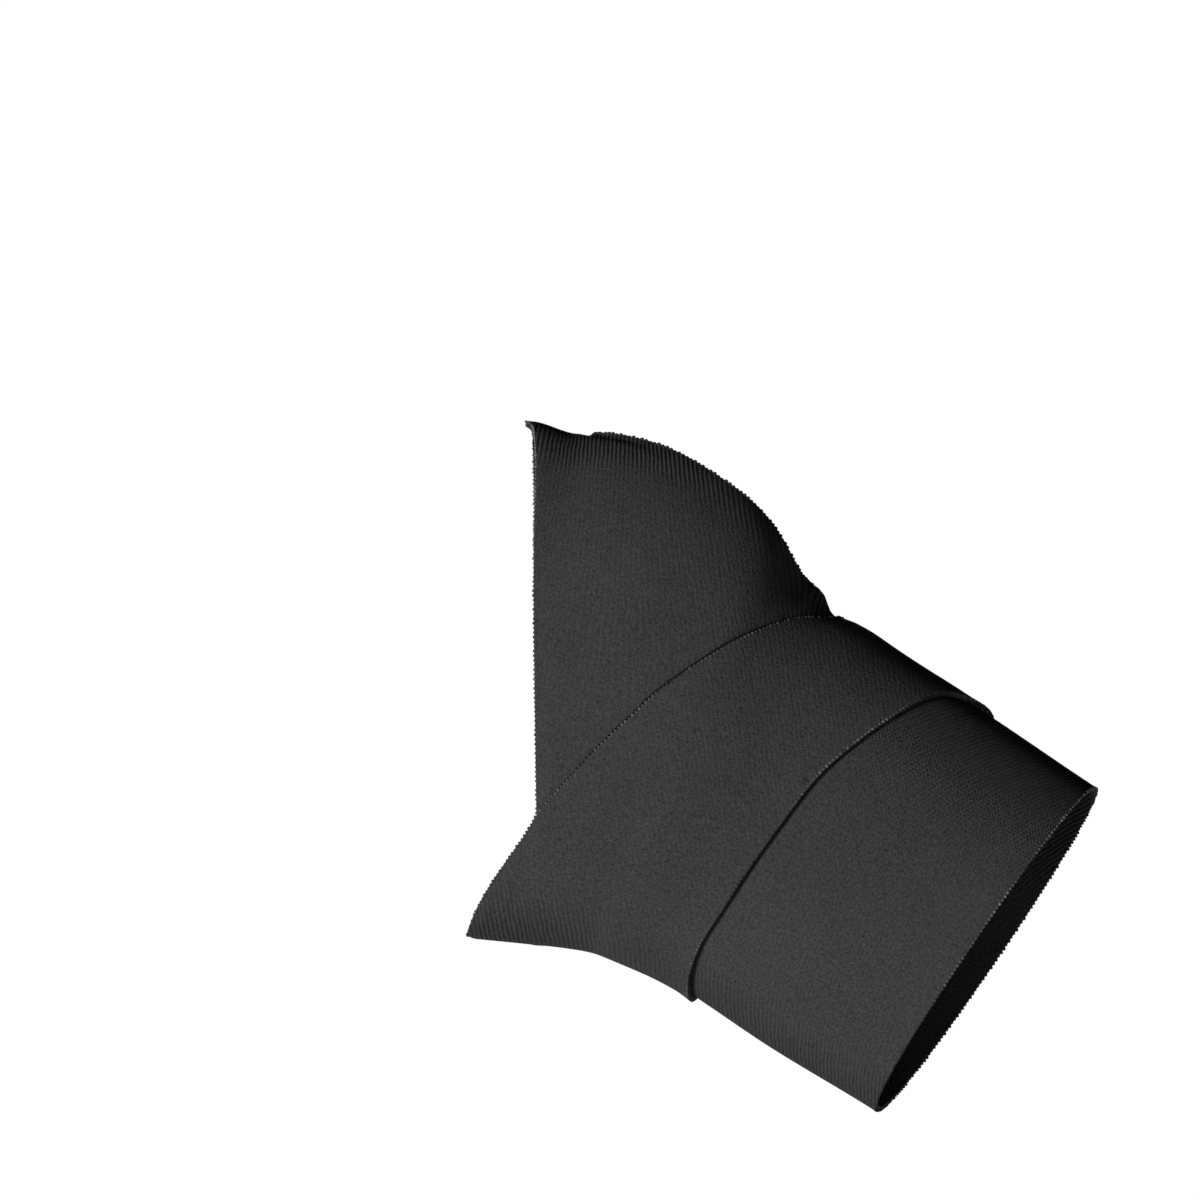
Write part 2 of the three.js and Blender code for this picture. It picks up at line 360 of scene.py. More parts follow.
def slab(name, inner, outer, cloth, looped=False, missing=None):
    """A closed slab from two grids of points (lengthwise, across, xyz). cloth holds each corner's
    place on the cloth and how far the ribs stand out there, and missing marks the cells that are
    left out."""
    rows, columns = outer.shape[:2]
    length = rows if looped else rows - 1
    width = columns - 1
    present = np.ones((length, width), bool) if missing is None else ~missing
    number = np.arange(rows * columns).reshape(rows, columns)
    layer = rows * columns
    faces, places = [], []

    def add(quad, side):
        """side says for each corner whether it is on the inner face; cells are (row, column)."""
        faces.append([number[i % rows, j] + (layer if s else 0) for (i, j), s in zip(quad, side)])
        places.append([cloth[i, j] for i, j in quad])

    def there(i, j):
        i = i % length if looped else i
        return 0 <= i < length and 0 <= j < width and present[i, j]

    for i in range(length):
        for j in range(width):
            if not present[i, j]:
                continue
            ring = [(i, j), (i, j + 1), (i + 1, j + 1), (i + 1, j)]
            add(ring, (0, 0, 0, 0))
            add(ring[::-1], (1, 1, 1, 1))
            for (di, dj), (a, b) in SIDES:
                if not there(i + di, j + dj):
                    add((ring[b], ring[a], ring[a], ring[b]), (0, 0, 1, 1))
    points = np.vstack([outer.reshape(-1, 3), inner.reshape(-1, 3)])
    used, faces = np.unique(np.array(faces), return_inverse=True)
    faces = faces.reshape(-1, 4)
    mesh = bpy.data.meshes.new(name)
    mesh.from_pydata(points[used].tolist(), [], faces.tolist())
    places = np.array(places).reshape(-1, 3)
    ribs = np.stack([places[:, 2], np.zeros(len(places))], axis=-1)
    for map_name, values in (("cloth", places[:, :2] / UV_UNIT), ("ribs", ribs)):
        mesh.uv_layers.new(name=map_name).data.foreach_set("uv", values.ravel())
    mesh.shade_smooth()
    piece = bpy.data.objects.new(name, mesh)
    bpy.context.collection.objects.link(piece)
    return piece


# %% Finishing a slab
def apply_modifiers(piece):
    """The evaluated mesh takes the place of the piece's own, and its modifiers go."""
    evaluated = piece.evaluated_get(bpy.context.evaluated_depsgraph_get())
    mesh = bpy.data.meshes.new_from_object(evaluated)
    piece.modifiers.clear()
    piece.data = mesh
    mesh.name = piece.name
    return piece


def round_rims(piece):
    bevel = piece.modifiers.new("rim", "BEVEL")
    bevel.width = RIM_ROUND
    bevel.segments = RIM_SEGMENTS
    bevel.limit_method = "ANGLE"
    bevel.angle_limit = math.radians(RIM_ANGLE)
    bevel.use_clamp_overlap = True
    return apply_modifiers(piece)


print("rims are rounded to", RIM_ROUND / MM, "mm")

# %% [markdown]
# ## The strap's path
# The strap starts on the palm side, comes round the little finger side, crosses the back and goes
# round the thumb side to the palm side again, where its tail lies over its start. A curve down its
# middle and a width would do for a strap that is even; this one spreads where it leaves the sleeve.
# So its two edges are a table: for each turn, where the hand edge and the arm edge lie along the
# sleeve. It comes before the sleeve, because the sleeve is pressed flatter where the strap lies.

# %% The strap's edges
STRAP_EDGES = np.array(
    [  # turn, hand edge, arm edge
        (246, 0.93, 0.42),
        (225, 1.02, 0.42),
        (203, 1.13, 0.42),
        (180, 1.2, 0.415),
        (165, 1.19, 0.42),
        (150, 1.158, 0.43),
        (135, 1.092, 0.435),
        (120, 0.99, 0.43),
        (105, 0.867, 0.427),
        (90, 0.768, 0.421),
        (75, 0.702, 0.412),
        (60, 0.661, 0.39),
        (45, 0.629, 0.366),
        (30, 0.596, 0.344),
        (15, 0.56, 0.317),
        (0, 0.547, 0.262),
        (-35, 0.54, 0.24),
        (-70, 0.56, 0.275),
        (-105, 0.62, 0.35),
        (-141, 0.69, 0.45),
    ]
)
PRESS_EDGE = 1.2 * MM  # over how much the pressing of the strap fades at its edges


def smooth(value, low, high):
    t = np.clip((value - low) / (high - low), 0, 1)
    return t * t * (3 - 2 * t)


def strap_edges(turn):
    """Where the strap's hand edge and arm edge lie at a turn."""
    found = between(STRAP_EDGES, np.asarray(turn, float))
    return found[..., 1], found[..., 2]


def strap_above(along, turn):
    """How surely the strap covers a place on the sleeve, from 0 to 1, softly at its edges."""
    covered = np.zeros(np.broadcast(along, turn).shape)
    for start in (0, -360):
        at = turn + start
        inside = (at <= STRAP_EDGES[0, 0]) & (at >= STRAP_EDGES[-1, 0])
        hand, arm = strap_edges(np.clip(at, STRAP_EDGES[-1, 0], STRAP_EDGES[0, 0]))
        soft = PRESS_EDGE / SLEEVE_LENGTH
        across = smooth(along, arm - soft, arm + soft) * (1 - smooth(along, hand - soft, hand + soft))
        covered = np.maximum(covered, inside * across)
    return covered


print("the strap goes", round(STRAP_EDGES[0, 0] - STRAP_EDGES[-1, 0]), "degrees round")

# %% [markdown]
# ## The sleeve
# The sleeve goes once round, from the forearm edge to the hand edge. A hole could be cut with a
# Boolean, but the cut would run across the cells and leave a ragged edge. So the cells bend round
# the thumb hole instead, and those inside it are left out. The hole's edge is a closed curve through
# a short table, as the hole shows in the photograph.

# %% The thumb hole's edge
THUMB_HOLE = np.array(
    [  # along, turn, in equal steps once round the hole from its hand end by the back of the hand
        (0.932, -14),
        (0.918, 4),
        (0.865, 13),
        (0.775, 19.5),
        (0.69, 16),
        (0.627, 3),
        (0.613, -12),
        (0.635, -32),
        (0.69, -47),
        (0.775, -55),
        (0.86, -48),
        (0.915, -33),
    ]
)
RIM_SAMPLES = 240


def hole_edge(share):
    """The hole's edge at a share of the way round it: a smooth closed curve through the table."""
    at = np.mod(np.asarray(share, float), 1) * len(THUMB_HOLE)
    first = np.floor(at).astype(int)
    t = (at - first)[..., None]
    a, b, c, d = (THUMB_HOLE[(first + k) % len(THUMB_HOLE)] for k in (-1, 0, 1, 2))
    return (2 * b + (c - a) * t + (2 * a - 5 * b + 4 * c - d) * t**2 + (3 * b - 3 * c + d - a) * t**3) / 2


rim_shares = np.linspace(0, 1, RIM_SAMPLES, endpoint=False)
rim = on_hollow(*hole_edge(rim_shares).T)
print("the thumb hole in mm, along x, y and z:", (np.ptp(rim, axis=0) / MM).round(1))

# %% The sleeve's cells
ROUND_STEPS = 280
STEPS_TO_HOLE, STEPS_BY_HOLE, STEPS_PAST_HOLE = ((56, 40, 12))
PULL_ALONG, PULL_TURN = 0.25, 60  # how far along and round the cells give way to the hole
FLARES = ((0.009, 0, 8), (-0.005, 38, 22))  # how far the hand edge reaches out, at which turn, how wide
FLARE_FROM = 0.93


def sleeve_grid():
    """Along and turn for each corner of the sleeve's cells, and the cells that the hole takes."""
    low, high = THUMB_HOLE.min(axis=0), THUMB_HOLE.max(axis=0)
    columns = np.concatenate(
        [
            np.linspace(0, low[0], STEPS_TO_HOLE + 1)[:-1],
            np.linspace(low[0], high[0], STEPS_BY_HOLE + 1)[:-1],
            np.linspace(high[0], 1, STEPS_PAST_HOLE + 1),
        ]
    )
    i0, i1 = (round((turn + 180) / 360 * ROUND_STEPS) for turn in (low[1], high[1]))
    j0, j1 = STEPS_TO_HOLE, STEPS_TO_HOLE + STEPS_BY_HOLE
    i, j = np.meshgrid(np.arange(ROUND_STEPS), np.arange(len(columns)), indexing="ij")
    turn, along = i * 360 / ROUND_STEPS - 180, columns[j]
    p = np.clip(2 * (j - j0) / (j1 - j0) - 1, -1, 1)
    q = np.clip(2 * (i - i0) / (i1 - i0) - 1, -1, 1)
    angle = np.arctan2(q * np.sqrt(1 - p * p / 2), p * np.sqrt(1 - q * q / 2))
    edge = hole_edge(angle / math.tau)
    box_turn = np.clip(i, i0, i1) * 360 / ROUND_STEPS - 180
    box_along = columns[np.clip(j, j0, j1)]
    room = np.where(along > box_along, 1 - box_along, PULL_ALONG)
    near = np.clip(1 - np.abs(along - box_along) / room, 0, 1)
    beside = 1 - smooth(np.abs(turn - box_turn), 0, PULL_TURN)
    weight = near * beside
    missing = np.zeros((ROUND_STEPS, len(columns) - 1), bool)
    missing[i0:i1, j0:j1] = True
    along = along + (edge[..., 0] - box_along) * weight
    turn = turn + (edge[..., 1] - box_turn) * weight
    flare = sum(reach * np.exp(-(((turn - at) / width) ** 2)) for reach, at, width in FLARES)
    return along + flare * smooth(along, FLARE_FROM, 1), turn, missing


along, turn, hole_cells = sleeve_grid()
print("cells", hole_cells.size, "of which the hole takes", hole_cells.sum())

# %% [markdown]
# ## The sleeve's relief
# A worn knit is never quite even. Here the cloth is pressed flatter under the strap and bunches up
# behind the thumb. Where the hole meets the web of the thumb its rim rolls over, which leaves a
# valley beside it, and the rest of the rim lies closer or stands off a little as the outline in the
# photograph does. Folds like these could be sculpted or simulated; as small functions of the place
# on the cloth they are exact, and each has a size that can be changed.

# %% The sleeve's relief
SLEEVE_INNER = 0.1 * MM
SLEEVE_OUTER = 1.0 * MM
PRESSED = 0.25 * MM  # how much the strap flattens it
BUNCH_RISE = 1.3 * MM
BUNCH_ALONG, BUNCH_TURN = 0.6, -2
BUNCH_REACH_ALONG, BUNCH_REACH_TURN = 0.036, 27
ROLL_DEPTH = 1.0 * MM
ROLL_AT, ROLL_WIDTH = 1.35 * MM, 0.8 * MM  # how far in from the hole's edge, and how wide
ROLL_FROM_HAND, ROLL_SPREAD = 0.1, 0.055  # where round the hole's edge, as shares of the way round
RIM_FORM = np.array(
    [  # share of the way round the hole's edge, how far the cloth by the rim stands up, in mm
        (-0.01, 0),
        (0.1, 0),
        (0.16, 0.1),
        (0.23, 0.2),
        (0.28, 0),
        (0.335, -0.35),
        (0.37, 0.15),
        (0.41, 0.6),
        (0.46, 0.15),
        (0.5, 0),
        (1.01, 0),
    ]
)
RIM_REACH = 5.5 * MM


def sleeve_rise(along, turn):
    """What the sleeve's relief adds to the height of its cloth."""
    off_along = (along - BUNCH_ALONG) / BUNCH_REACH_ALONG
    off_turn = (turn - BUNCH_TURN) / BUNCH_REACH_TURN
    bunch = BUNCH_RISE * np.maximum(0, 1 - off_along**2 - off_turn**2) ** 2
    place = on_hollow(along, turn)
    gap = np.full(along.shape, 1.0)
    nearest = np.zeros(along.shape)
    for point, at in zip(rim, rim_shares):
        distance = np.linalg.norm(place - point, axis=-1)
        nearest = np.where(distance < gap, at, nearest)
        gap = np.minimum(gap, distance)
    by_web = np.exp(-(((nearest - ROLL_FROM_HAND) / ROLL_SPREAD) ** 2))
    curl = -ROLL_DEPTH * by_web * np.exp(-(((gap - ROLL_AT) / ROLL_WIDTH) ** 2))
    form = between(RIM_FORM, nearest)[..., 1] * MM * (1 - smooth(gap, 0, RIM_REACH))
    return bunch + curl + form


rise = sleeve_rise(along, turn)
press = PRESSED * strap_above(along, turn)
print("relief from", (rise.min() / MM).round(2), "to", (rise.max() / MM).round(2), "mm")

# %% [markdown]
# ## The sleeve's ribs
# The ribs of a knit run one way in each strip of cloth. On the hand part they run up and down, and on
# the forearm part slantwise, with the change hidden under the strap. An even unwrap would give one
# run for both, so the UV map is worked out with the points. The ribs only show where the cloth bends
# away, so a second map holds how far they stand out. The material reads it for the bump and for the
# painted shade in the grooves between the ribs.

# %% How the ribs run
RADIUS = (WRIST_HEIGHT + WRIST_DEPTH) / 4
RIB_LEAN, RIB_SWEEP = 0.1, 9.2  # how a rib slants on the forearm, and how it bends, per metre
FINGER_SIDE_SHARE = 0.6  # how much of their relief they have by the little finger side
HAND_SLANT, HAND_SLANT_MORE = -9, 17  # degrees at the hand edge, and what is added towards the wrist
HAND_SLANT_OVER = (-36 * MM, -8 * MM)
HAND_RIBS_UPRIGHT_AT = 45 * MM
RIBS_CHANGE = (0.46, 0.54)  # where along the sleeve the one run goes over into the other
FOREARM_RIBS_REACH, HAND_RIBS_REACH = (0.85, 0.3), (0.2, 0.28)


def ribs_stand(turn, thumb_side, finger_side):
    """How far the ribs stand out, from 0 to 1: most where the cloth bends round an edge. The two
    shares say how far from each edge of the hand they can be seen."""
    bend = np.cos(np.radians(turn))
    by_fingers = FINGER_SIDE_SHARE * smooth(-bend, 1 - finger_side, 1)
    return smooth(bend, 1 - thumb_side, 1) + by_fingers


def sleeve_ribs(along, turn):
    """The place on the cloth, across the ribs and along them, and how far they stand out."""
    place = on_hollow(along, turn)
    x, z = place[..., 0], place[..., 2]
    slant = np.tan(np.radians(HAND_SLANT + HAND_SLANT_MORE * smooth(x, *HAND_SLANT_OVER)))
    round_arm = np.radians(turn) * RADIUS
    on_hand = np.stack([x + (z - HAND_RIBS_UPRIGHT_AT) * slant, round_arm], axis=-1)
    height = np.cos(np.radians(turn)) * WRIST_HEIGHT / 2
    across = -along * SLEEVE_LENGTH - RIB_LEAN * height - RIB_SWEEP * height**2
    on_arm = np.stack([across, round_arm], axis=-1)
    share = smooth(along, *RIBS_CHANGE)[..., None]
    mapped = on_arm + (on_hand - on_arm) * share
    on_forearm = ribs_stand(turn, *FOREARM_RIBS_REACH)
    stand = on_forearm + (ribs_stand(turn, *HAND_RIBS_REACH) - on_forearm) * share[..., 0]
    return np.concatenate([mapped, stand[..., None]], axis=-1)


# %% Build the sleeve
sleeve_cloth = sleeve_ribs(np.vstack([along, along[:1]]), np.vstack([turn, turn[:1] + 360]))
sleeve = round_rims(
    slab(
        "knit_sleeve",
        off_hollow(along, turn, SLEEVE_INNER + rise),
        off_hollow(along, turn, SLEEVE_OUTER + rise - press),
        sleeve_cloth,
        looped=True,
        missing=hole_cells,
    )
)
print("the sleeve has", len(sleeve.data.polygons), "faces")

# %% [markdown]
# ## The strap
# The strap lies on the sleeve, pressed close, so its edge makes only a small step. It could be
# draped over the sleeve with a cloth simulation, but its path is known from the photograph, so it is
# laid along its two edges at a height off the hollow. It is a little crowned across, its hand edge
# eases down, its arm edge lifts a little, which makes the dark line there, and past the sleeve's
# hand edge it drops inwards. Its tail climbs onto the hook tab. The strap spans the sleeve's flared
# corner rather than following it, so its sections go only half of the way there.

# %% The strap's height
STRAP_CLOTH = 0.95 * MM
STRAP_CLEAR = 0.04 * MM
STRAP_SEAT = SLEEVE_OUTER - PRESSED + STRAP_CLEAR
STRAP_CROWN, CROWN_POWER = 0.25 * MM, 4  # how far it rises across, and how flat its middle stays
EDGE_EASE = 0.25 * MM
EDGE_REACH = 2.2 * MM
DROP_PAST_SLEEVE, DROP_OVER = 0.7 * MM, (0.94, 1.2)
TAIL_RISE, TAIL_LIFT_FROM, TAIL_LIFT_TO = 2.1 * MM, -92, -110
LIFT, LIFT_REACH = 0.15 * MM, 3 * MM  # how far the arm edge stands off the sleeve, and over what
LIFT_MORE, LIFT_TURN, LIFT_WIDTH = 0.2 * MM, 160, 25  # and a little more by the little finger side


def strap_heights(along, turn, hand, arm):
    """The heights of the strap's inner and outer face."""
    across = (along - arm) / (hand - arm)
    to_edge = np.minimum(hand - along, along - arm) * SLEEVE_LENGTH
    seat = STRAP_SEAT + STRAP_CROWN * (1 - (2 * across - 1) ** CROWN_POWER)
    seat = seat - DROP_PAST_SLEEVE * smooth(along, *DROP_OVER)
    by_arm_edge = 1 - smooth((along - arm) * SLEEVE_LENGTH, 0, LIFT_REACH)
    lift = LIFT + LIFT_MORE * np.exp(-(((turn - LIFT_TURN) / LIFT_WIDTH) ** 2))
    seat = seat + lift * by_arm_edge
    seat = seat + TAIL_RISE * smooth(-turn, -TAIL_LIFT_FROM, -TAIL_LIFT_TO)
    thick = STRAP_CLOTH - EDGE_EASE * (1 - smooth(to_edge, 0, EDGE_REACH)) * (1 - by_arm_edge)
    return seat, seat + thick


print("the strap's inner face starts", STRAP_SEAT / MM, "mm off the hollow")

# %% The strap's cells
STRAP_STEPS_ROUND, STRAP_STEPS_ACROSS = ((360, 64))
turns = np.linspace(STRAP_EDGES[0, 0], STRAP_EDGES[-1, 0], STRAP_STEPS_ROUND + 1)
hand, arm = (v[:, None] for v in strap_edges(turns))
even = np.linspace(0, 1, STRAP_STEPS_ACROSS + 1)
closer_at_edges = (1 - np.cos(math.pi * even)) / 2
share = (even + closer_at_edges) / 2
strap_along = hand + (arm - hand) * share[None, :]
strap_turn = np.broadcast_to(turns[:, None], strap_along.shape)
seat, top = strap_heights(strap_along, strap_turn, hand, arm)
print("the strap is", (np.ptp(strap_along[0]) * SLEEVE_LENGTH / MM).round(1), "mm wide at its start")

# %% The strap's sections
CORNER_ROWS = slice(7, 10)  # the sections at the sleeve's flared corner
CORNER_SHARE = 0.5  # how far the strap follows them
STRAP_SECTIONS = SECTIONS.copy()
without_corner = between(np.delete(SECTIONS, CORNER_ROWS, axis=0), SECTIONS[CORNER_ROWS, 0])
STRAP_SECTIONS[CORNER_ROWS] += (without_corner - SECTIONS[CORNER_ROWS]) * (1 - CORNER_SHARE)
height_column = COLUMNS.index("height")
own, followed = (rows[CORNER_ROWS, height_column].round(3) for rows in (STRAP_SECTIONS, SECTIONS))
print("the strap's heights there are", own, "where the sleeve has", followed)

# %% The strap's ribs
STRAP_RIB_LEAN = math.radians(10)  # from upright
RIB_RUN_ROUND, RIB_RUN_ALONG, RIB_RUN_FROM = 0.745, -0.683, 0.4  # how a rib's own length is counted
STRAP_RIBS_REACH = (0.02, 0.3)
RIBS_FADE, RIBS_FADE_OVER = 0.65, (-38 * MM, -26 * MM)  # they show most near the strap's tip
strap_place = on_hollow(strap_along, strap_turn, STRAP_SECTIONS)
x, z = strap_place[..., 0], strap_place[..., 2]
across_ribs = x * math.cos(STRAP_RIB_LEAN) + z * math.sin(STRAP_RIB_LEAN)
round_part = RIB_RUN_ROUND * np.radians(strap_turn) * RADIUS
along_ribs = round_part + RIB_RUN_ALONG * strap_along * SLEEVE_LENGTH + RIB_RUN_FROM
stand_out = ribs_stand(strap_turn, *STRAP_RIBS_REACH) * (1 - RIBS_FADE * smooth(x, *RIBS_FADE_OVER))
strap_cloth = np.stack([across_ribs, along_ribs, stand_out], axis=-1)
print("ribs cross", (np.ptp(across_ribs) / MM).round(1), "mm of strap")

# %% Build the strap
strap = round_rims(
    slab(
        "knit_strap",
        off_hollow(strap_along, strap_turn, seat, STRAP_SECTIONS),
        off_hollow(strap_along, strap_turn, top, STRAP_SECTIONS),
        strap_cloth,
    )
)
print("the strap has", len(strap.data.polygons), "faces")

# %% [markdown]
# ## The hook tab
# A strap like this needs something to fasten to. It is hidden on the palm side, so it is only a
# small plain patch of hook tape between the strap's start and its tail, made as the strap is. The
# hooks are far too small to see, and the material gives them a darker, coarser grain.

# %% The tab
TAB_FIRST, TAB_LAST = 221, 242  # turns
TAB_ARM, TAB_HAND = 0.47, 0.66  # along the sleeve
TAB_THICK = 0.9 * MM
TAB_CLEAR = 0.05 * MM
TAB_SEAT = STRAP_SEAT + STRAP_CROWN + STRAP_CLOTH + TAB_CLEAR
TAB_STEPS = 24
tab_turn, tab_along = np.meshgrid(
    np.linspace(TAB_FIRST, TAB_LAST, TAB_STEPS + 1),
    np.linspace(TAB_ARM, TAB_HAND, TAB_STEPS + 1),
    indexing="ij",
)
tab_cloth = np.stack(
    [tab_along * SLEEVE_LENGTH, np.radians(tab_turn) * RADIUS, np.ones(tab_turn.shape)], axis=-1
)
tab = round_rims(
    slab(
        "hook_tape",
        off_hollow(tab_along, tab_turn, np.full(tab_turn.shape, TAB_SEAT)),
        off_hollow(tab_along, tab_turn, np.full(tab_turn.shape, TAB_SEAT + TAB_THICK)),
        tab_cloth,
    )
)
print("the tab has", len(tab.data.polygons), "faces")

# %% [markdown]
# ## The finish of the knit
# The cloth is a fine ribbed elastic knit. Its ribs are about 0.7 mm apart, and along each rib lie
# small stitches. Seen square on, they are only a fine grain. Where the cloth turns away from the
# light, the ribs show as lines. Modelling each stitch would take millions of faces, and a picture of
# a knit would blur close up. So the ribs are relief, in a bump, and the colour only varies a little:
# a soft mottle, a grain of single stitches, a few dark specks, and painted shade in the grooves
# between the ribs, with painted light on their crests, strongest where the ribs stand out.

# %% The sizes of the knit
RIB, STITCH = 0.72, 0.5  # mm
PALENESS = 0.034  # how much light the cloth gives back
DARK_SHARE, LIGHT_SHARE, LIGHT_BLUE = 0.5, 1.5, 1.02
WOBBLE_SCALE, GRAIN_SCALE, MOTTLE_SCALE, SPECK_SCALE = 300.0, 2800.0, 70.0, 75.0  # per metre
RIB_WOBBLE, STITCH_STAGGER = 0.5, 1.4  # how uneven the ribs are, and how stitches shift from rib to rib
SHOWN_FLAT = 0.08  # how much of the ribs shows where the cloth lies flat
STITCH_RELIEF, GRAIN_RELIEF = 0.35, 1.1  # beside the relief of a rib, which is 1
RELIEF_DEPTH = 0.17 * MM
# RIB_GROOVE_SHADE is painted shade: it darkens the grooves between the ribs and lightens their crests.
GRAIN_TONE, MOTTLE_TONE, RIB_GROOVE_SHADE = 1.7, 0.3, 0.3  # what each adds to the tone
SPECK_SHARPNESS, SPECK_STRENGTH, SPECK_TONE = 20, 0.8, 0.003
ROUGH, ROUGH_VARIES = 0.93, 0.12
SHINE, LOOP_SHINE = 0.12, 0.1
print("ribs are", RIB, "mm apart and stitches", STITCH, "mm long")


# %% The knit
def knit(name, base=PALENESS, rib=RIB, stitch=STITCH, grain_shape=(1.0, 1.0, 1.0)):
    cloth = Finish(name)
    place = cloth.node("ShaderNodeUVMap", {"uv_map": "cloth"})
    stand_map = cloth.node("ShaderNodeUVMap", {"uv_map": "ribs"})
    across = cloth.node("ShaderNodeSeparateXYZ", Vector=place, out=0) * (UV_UNIT / MM)
    along_rib = cloth.node("ShaderNodeSeparateXYZ", Vector=place, out=1) * (UV_UNIT / MM)
    stand = cloth.node("ShaderNodeSeparateXYZ", Vector=stand_map, out=0)
    space = cloth.node("ShaderNodeTexCoord", out=OBJECT_PLACE)
    stretched = cloth.node("ShaderNodeMapping", Vector=space, Scale=grain_shape)

    def noise(at, scale, **sockets):
        return cloth.node("ShaderNodeTexNoise", Vector=at, Scale=scale, **sockets) - 0.5

    wobble = noise(space, WOBBLE_SCALE, Detail=2.0)
    grain = noise(stretched, GRAIN_SCALE, Detail=1.5, Roughness=0.6)
    mottle = noise(space, MOTTLE_SCALE, Detail=3.0)
    show = stand * (1 - SHOWN_FLAT) + SHOWN_FLAT
    rib_wave = ((across + wobble * RIB_WOBBLE) * (math.tau / rib)).sine()
    stitch_wave = ((along_rib + wobble) * (math.tau / stitch) + rib_wave * STITCH_STAGGER).sine()
    relief = rib_wave * show + stitch_wave * show * STITCH_RELIEF + grain * GRAIN_RELIEF
    bump = cloth.node("ShaderNodeBump", Height=relief, Strength=1.0, Distance=RELIEF_DEPTH)
    specks = cloth.node("ShaderNodeTexVoronoi", Vector=space, Scale=SPECK_SCALE)
    speck = 1 - (specks * SPECK_SHARPNESS).clamped()
    # The rib term paints shade into the grooves and light onto the crests, most where the ribs stand out.
    tone = (grain * GRAIN_TONE + mottle * MOTTLE_TONE + rib_wave * show * RIB_GROOVE_SHADE + 0.5).clamped()
    dark, light = base * DARK_SHARE, base * LIGHT_SHARE
    colour = cloth.blend(tone, (dark, dark, dark, 1), (light, light, light * LIGHT_BLUE, 1))
    colour = cloth.blend(speck * SPECK_STRENGTH, colour, (SPECK_TONE, SPECK_TONE, SPECK_TONE, 1))
    rough = (ROUGH - grain * ROUGH_VARIES).clamped()
    return cloth.surface(Base_Color=colour, Roughness=rough, Normal=bump, Specular_IOR_Level=SHINE)


sleeve_knit = knit("sleeve_knit")
strap_knit = knit("strap_knit", grain_shape=(0.7, 1.0, 1.25))
hook_tape = knit("hook_tape", base=0.014, rib=0.9, stitch=0.9)
for piece, material in ((sleeve, sleeve_knit), (strap, strap_knit), (tab, hook_tape)):
    piece.data.materials.clear()
    piece.data.materials.append(material)
    print(piece.name, "is made of", material.name, "with", len(material.node_tree.nodes), "nodes")

# %% The cut loops' finish
LOOP_DARK, LOOP_LIGHT = 0.02, 0.13
PATCH_SCALE, PATCH_CONTRAST = 55.0, 5
# Painted light: the higher a loop lies, the lighter it is painted.
PAINTED_LIGHT_UPWARDS, LIGHTER_MIDDLE = 9, 0.3  # more per metre of height, and how much at the origin


def cut_edge(name):
    """The cut loops at an edge: lighter in patches, where the elastic shows through the yarn, and
    painted lighter the higher they lie, as painted light.
    """
    loops = Finish(name)
    place = loops.node("ShaderNodeTexCoord", out=OBJECT_PLACE)
    patches = loops.node("ShaderNodeTexNoise", Vector=place, Scale=PATCH_SCALE, Detail=3.0)
    height = loops.node("ShaderNodeSeparateXYZ", Vector=place, out=2)
    # random patches, plus painted light that grows with height
    patches_and_painted_light = ((patches - 0.5) * PATCH_CONTRAST + height * PAINTED_LIGHT_UPWARDS + LIGHTER_MIDDLE).clamped()
    dark, light = ((tone, tone, tone, 1) for tone in (LOOP_DARK, LOOP_LIGHT))
    colour = loops.blend(patches_and_painted_light, dark, light)
    return loops.surface(Base_Color=colour, Roughness=0.9, Specular_IOR_Level=LOOP_SHINE)


loop_finish = cut_edge("cut_loops")
print("the loops are up to", round(LOOP_LIGHT / PALENESS, 1), "times as pale as the cloth")

# %% [markdown]
# ## Cut edges
# Where the knit is cut, each rib ends in a small loop. They are what makes the edges of the wrap
# look serrated and a little lighter than the cloth. Hair or a displaced rim would be hard to keep
# even, so a node group sets them along a curve: it resamples the curve at the pitch of the ribs and
# puts a small bead at each point, turned to the curve and a little uneven in size.

# %% The nodes that set loops along an edge
LOOP_SIZE = 0.21 * MM
LOOP_UNEVEN = 0.35  # how much larger or smaller one loop can be, as a share of its size
LOOP_SEED = 7
BEAD_SUBDIVISIONS = 2
BEAD_FACES = 20 * 4 ** (BEAD_SUBDIVISIONS - 1)
RANDOM_LOW, RANDOM_HIGH, RANDOM_RESULT = 2, 3, 1  # the sockets of Random Value for a single number


def loop_nodes(finish):
    group = bpy.data.node_groups.new("loops_" + finish.name, "GeometryNodeTree")
    group.interface.new_socket("Edge", in_out="INPUT", socket_type="NodeSocketGeometry")
    for name, value in (("Pitch", RIB * MM), ("Size", LOOP_SIZE), ("Uneven", LOOP_UNEVEN)):
        socket = group.interface.new_socket(name, in_out="INPUT", socket_type="NodeSocketFloat")
        socket.default_value = value
    group.interface.new_socket("Loops", in_out="OUTPUT", socket_type="NodeSocketGeometry")
    tree = Tree(group)
    edge, pitch, size, uneven = (
        tree.node("NodeGroupInput", out=name) for name in ("Edge", "Pitch", "Size", "Uneven")
    )
    curve = tree.node("GeometryNodeMeshToCurve", Mesh=edge)
    points = tree.node("GeometryNodeResampleCurve", {"mode": "LENGTH"}, Curve=curve, Length=pitch)
    bead = tree.node("GeometryNodeMeshIcoSphere", Radius=size, Subdivisions=BEAD_SUBDIVISIONS)
    tangent = tree.node("GeometryNodeInputTangent")
    turned = tree.node("FunctionNodeAlignRotationToVector", {"axis": "X"}, Vector=tangent)
    limits = {RANDOM_LOW: 1 - uneven, RANDOM_HIGH: 1 + uneven}
    scale = tree.node("FunctionNodeRandomValue", None, limits, out=RANDOM_RESULT, Seed=LOOP_SEED)
    beads = tree.node(
        "GeometryNodeInstanceOnPoints", Points=points, Instance=bead, Rotation=turned, Scale=scale
    )
    real = tree.node("GeometryNodeRealizeInstances", Geometry=beads)
    painted = tree.node("GeometryNodeSetMaterial", Geometry=real, Material=finish)
    tree.node("NodeGroupOutput", Loops=painted)
    return group


